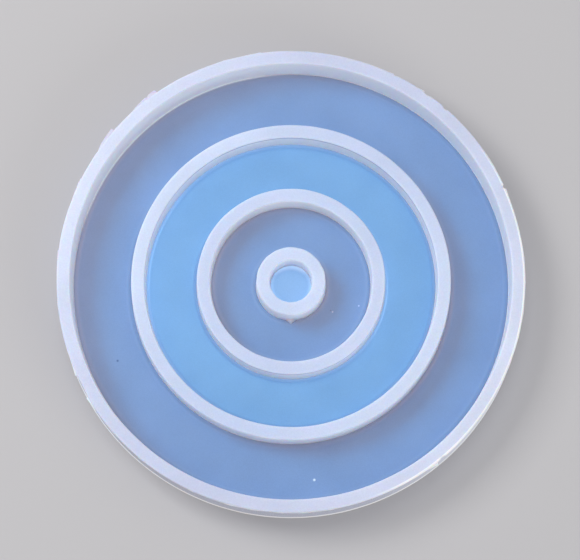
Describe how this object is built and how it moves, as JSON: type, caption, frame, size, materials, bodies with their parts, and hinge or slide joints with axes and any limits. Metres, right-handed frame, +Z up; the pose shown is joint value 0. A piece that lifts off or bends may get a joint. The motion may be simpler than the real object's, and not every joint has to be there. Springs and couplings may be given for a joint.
{
  "type": "resin casting mould",
  "caption": "Round, shallow silicone mould with a tall outer wall, concentric lower ring walls and a hollow centre boss, for casting resin rings.",
  "frame": {"origin": "centre of the flat underside", "axes": "+Z up out of the cavities along the round axis; -Y to the front, where the boss has its small foot nib; +X to the right"},
  "size_m": [0.1507, 0.1507, 0.016],
  "materials": {
    "wall_silicone": "translucent milky white silicone rubber, satin, thick enough to look nearly opaque",
    "satin_floor_silicone": "thin translucent silicone rubber, satin, bluish where a dark ground shows through",
    "polished_floor_silicone": "thin translucent silicone rubber with a polished face, evenly sky blue"
  },
  "bodies": {
    "root": {"outer_wall": "wall_silicone", "middle_ring_wall": "wall_silicone", "inner_ring_wall": "wall_silicone", "centre_boss": "wall_silicone", "trimmed_rim_flash": "wall_silicone", "boss_foot_nib": "wall_silicone", "outer_channel_floor": "satin_floor_silicone", "inner_channel_floor": "satin_floor_silicone", "polished_ring_floor": "polished_floor_silicone", "polished_boss_floor": "polished_floor_silicone"}
  },
  "joints": []
}
